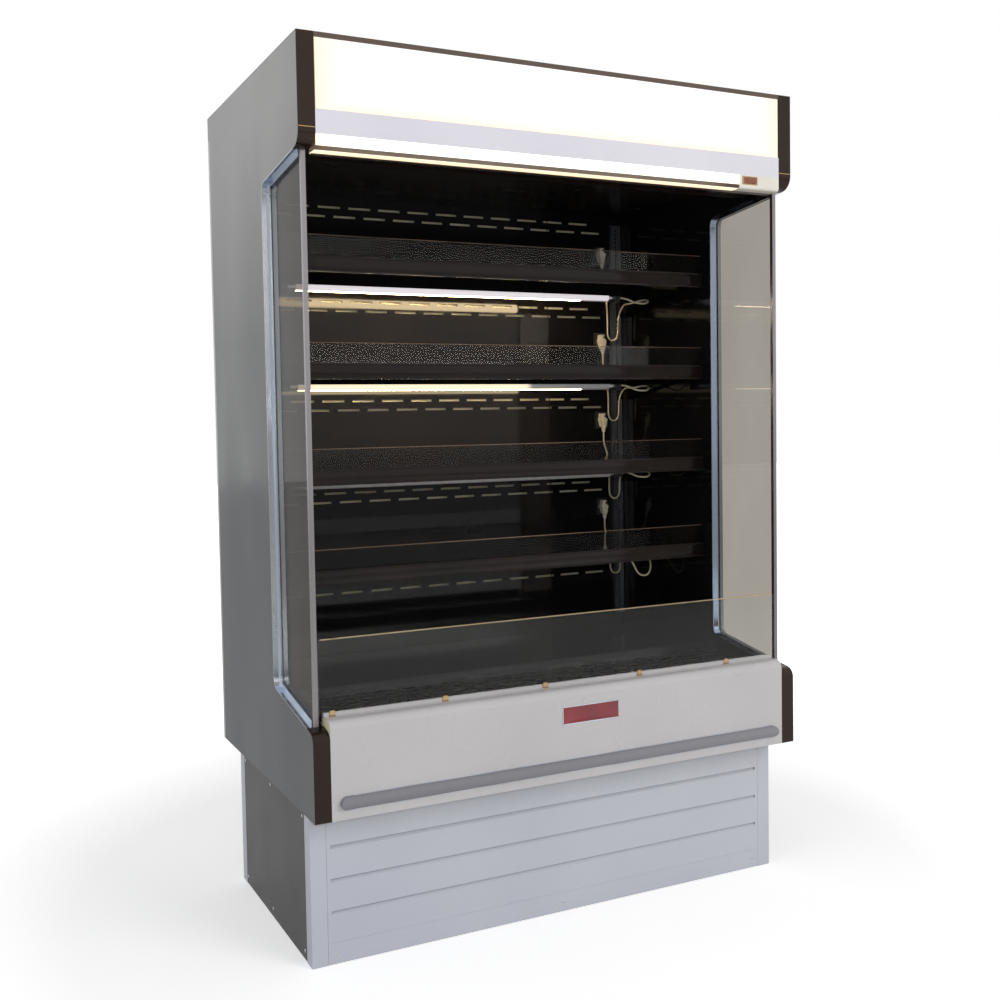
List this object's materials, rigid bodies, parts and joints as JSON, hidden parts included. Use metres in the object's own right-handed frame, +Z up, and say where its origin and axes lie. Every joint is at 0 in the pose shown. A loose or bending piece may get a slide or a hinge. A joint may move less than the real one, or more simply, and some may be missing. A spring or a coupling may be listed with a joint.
{
  "type": "open multideck display fridge",
  "caption": "Tall open-front multideck display fridge with lit canopy, glass side wings, tilting lit shelves, deck, return grille and louvred base.",
  "frame": {"origin": "middle of the footprint on the floor", "axes": "+X to the right seen from the front, +Y towards the back, +Z up; the front faces -Y"},
  "size_m": [1.295, 0.805, 2.006],
  "materials": {
    "end_panel": "glossy grey paint",
    "inner_black": "glossy black paint",
    "bronze_trim": "glossy dark bronze",
    "bright_trim": "polished",
    "clear_glass": "clear",
    "rear_steel": "plain galvanised sheet",
    "roof_paint": "dark brown paint",
    "foam": "foamed insulation",
    "front_paint": "off-white paint",
    "bumper": "satin grey-brown",
    "base_paint": "light blue-grey paint",
    "canopy_white": "satin pale lavender-grey",
    "sign_face": "back-lit white",
    "lens": "frosted white",
    "grille_bronze": "glossy dark bronze",
    "liner_white": "white paint",
    "upright_steel": "grey",
    "coil": "finned",
    "galvanised": "galvanised sheet",
    "black_enamel": "black enamel",
    "fan_plastic": "matte black",
    "lamp_white": "lit white",
    "cream_plastic": "cream",
    "lead_pvc": "cream flexible sheath",
    "clear_plastic": "clear",
    "rail_black": "glossy black",
    "rocker": "reddish brown"
  },
  "bodies": {
    "case": {"left_end_panel": "end_panel", "right_end_panel": "end_panel", "end_liners": "inner_black", "end_caps": "bronze_trim", "glazing_trims": "bright_trim", "glass_edge_strips": "bright_trim", "side_glasses": "clear_glass", "front_glass": "clear_glass", "rear_panel": "rear_steel", "roof_panel": "roof_paint", "insulated_tub": "foam", "front_panel": "front_paint", "bumper_rail": "bumper", "rear_liner": "inner_black", "ceiling_liner": "liner_white", "discharge_grille": "grille_bronze", "shelf_uprights": "upright_steel", "fan_plenum": "galvanised", "evaporator_coil": "coil", "fan_motors": "black_enamel", "condenser_coil": "coil", "fan_shroud": "galvanised", "compressor": "black_enamel", "condensate_pan": "galvanised", "base_frame": "base_paint", "base_side_panels": "base_paint", "louvre_panel": "base_paint", "canopy_box": "canopy_white", "sign_panel": "sign_face", "canopy_lens": "lens", "switch_plate": "lens", "canopy_lamps": "lamp_white", "lamp_sockets": "cream_plastic", "lamp_plugs": "cream_plastic", "shelf_1_lamp_lead": "lead_pvc", "shelf_2_lamp_lead": "lead_pvc", "shelf_3_lamp_lead": "lead_pvc", "shelf_4_lamp_lead": "lead_pvc"},
    "shelf_1": {"shelf_1": "inner_black", "shelf_1_price_rail": "rail_black", "shelf_1_front_stop": "clear_plastic", "shelf_1_lamp": "lamp_white"},
    "shelf_2": {"shelf_2": "inner_black", "shelf_2_price_rail": "rail_black", "shelf_2_front_stop": "clear_plastic", "shelf_2_lamp": "lamp_white"},
    "shelf_3": {"shelf_3": "inner_black", "shelf_3_price_rail": "rail_black", "shelf_3_front_stop": "clear_plastic", "shelf_3_lamp": "lamp_white"},
    "shelf_4": {"shelf_4": "inner_black", "shelf_4_price_rail": "rail_black", "shelf_4_front_stop": "clear_plastic", "shelf_4_lamp": "lamp_white"},
    "condenser_fan": {"condenser_fan": "fan_plastic"},
    "evaporator_fan_left": {"evaporator_fan_left": "fan_plastic"},
    "evaporator_fan_right": {"evaporator_fan_right": "fan_plastic"},
    "switch_rocker": {"switch_rocker": "rocker"},
    "deck_pan": {"deck_pan": "inner_black"},
    "return_grille": {"return_grille": "grille_bronze"}
  },
  "joints": [
    {"name": "shelf_1_tilt", "type": "hinge", "parent": "case", "child": "shelf_1", "pos_m": [0, 0.35, 1.58], "axis": [-1, 0, 0], "range_deg": [0, 12]},
    {"name": "shelf_2_tilt", "type": "hinge", "parent": "case", "child": "shelf_2", "pos_m": [0, 0.35, 1.326], "axis": [-1, 0, 0], "range_deg": [0, 12]},
    {"name": "shelf_3_tilt", "type": "hinge", "parent": "case", "child": "shelf_3", "pos_m": [0, 0.35, 1.072], "axis": [-1, 0, 0], "range_deg": [0, 12]},
    {"name": "shelf_4_tilt", "type": "hinge", "parent": "case", "child": "shelf_4", "pos_m": [0, 0.35, 0.8307], "axis": [-1, 0, 0], "range_deg": [0, 12]},
    {"name": "deck_lift", "type": "slide", "parent": "case", "child": "deck_pan", "axis": [0, 0, 1], "range_m": [0, 0.12]},
    {"name": "return_grille_lift", "type": "slide", "parent": "case", "child": "return_grille", "axis": [0, 0, 1], "range_m": [0, 0.12]},
    {"name": "condenser_fan_spin", "type": "hinge", "parent": "case", "child": "condenser_fan", "pos_m": [-0.31, -0.21, 0.182], "axis": [0, 1, 0], "continuous": true},
    {"name": "evaporator_fan_left_spin", "type": "hinge", "parent": "case", "child": "evaporator_fan_left", "pos_m": [-0.28, -0.065, 0.47], "axis": [0, 1, 0], "continuous": true},
    {"name": "evaporator_fan_right_spin", "type": "hinge", "parent": "case", "child": "evaporator_fan_right", "pos_m": [0.28, -0.065, 0.47], "axis": [0, 1, 0], "continuous": true},
    {"name": "light_switch", "type": "hinge", "parent": "case", "child": "switch_rocker", "pos_m": [0.518, -0.379, 1.785], "axis": [0, 0, 1], "range_deg": [0, 14]}
  ]
}
